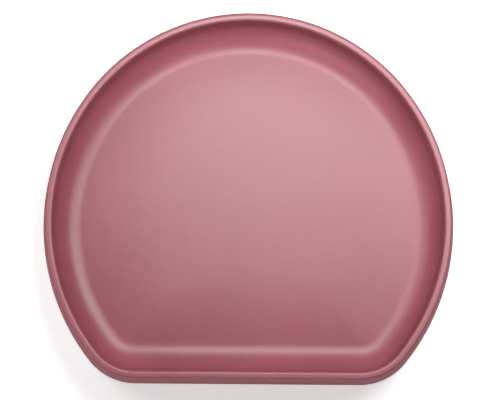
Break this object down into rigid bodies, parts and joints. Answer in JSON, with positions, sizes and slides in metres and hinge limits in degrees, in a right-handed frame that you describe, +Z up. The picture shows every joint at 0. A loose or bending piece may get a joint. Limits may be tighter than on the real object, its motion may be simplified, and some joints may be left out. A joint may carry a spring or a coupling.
{
  "type": "suction bowl",
  "caption": "Shallow D-shaped silicone bowl with a rounded rim and a flat front edge, on a detachable suction foot with a release tab.",
  "frame": {"origin": "on the table, below the middle of the bowl's rim outline, on the axis of the round suction foot", "axes": "+Z up, -Y towards the bowl's flat front edge, +Y towards its round back and the release tab, +X to the right"},
  "size_m": [0.2024, 0.182, 0.038],
  "materials": {
    "bowl_silicone": "matt dusty-rose silicone",
    "foot_silicone": "smooth matt dusty-rose silicone",
    "core_plastic": "satin polypropylene"
  },
  "bodies": {
    "suction_foot": {"suction_cup": "foot_silicone"},
    "core": {"foot_core_ring": "core_plastic"},
    "bowl": {"bowl": "bowl_silicone"},
    "tab": {"release_tab": "foot_silicone"}
  },
  "joints": [
    {"name": "press_down", "type": "slide", "parent": "suction_foot", "child": "core", "axis": [0, 0, 1], "range_m": [-0.0025, 0], "stiffness_N_per_m": 6000, "springref_m": 0.001, "deforming": ["suction_cup"]},
    {"name": "lift_off", "type": "slide", "parent": "core", "child": "bowl", "axis": [0, 0, 1], "range_m": [0, 0.03]},
    {"name": "tab_lift", "type": "hinge", "parent": "suction_foot", "child": "tab", "pos_m": [0, 0.0652, 0.0013], "axis": [1, 0, 0], "range_deg": [0, 20], "stiffness_Nm_per_rad": 0.005, "springref_deg": -5.73}
  ]
}
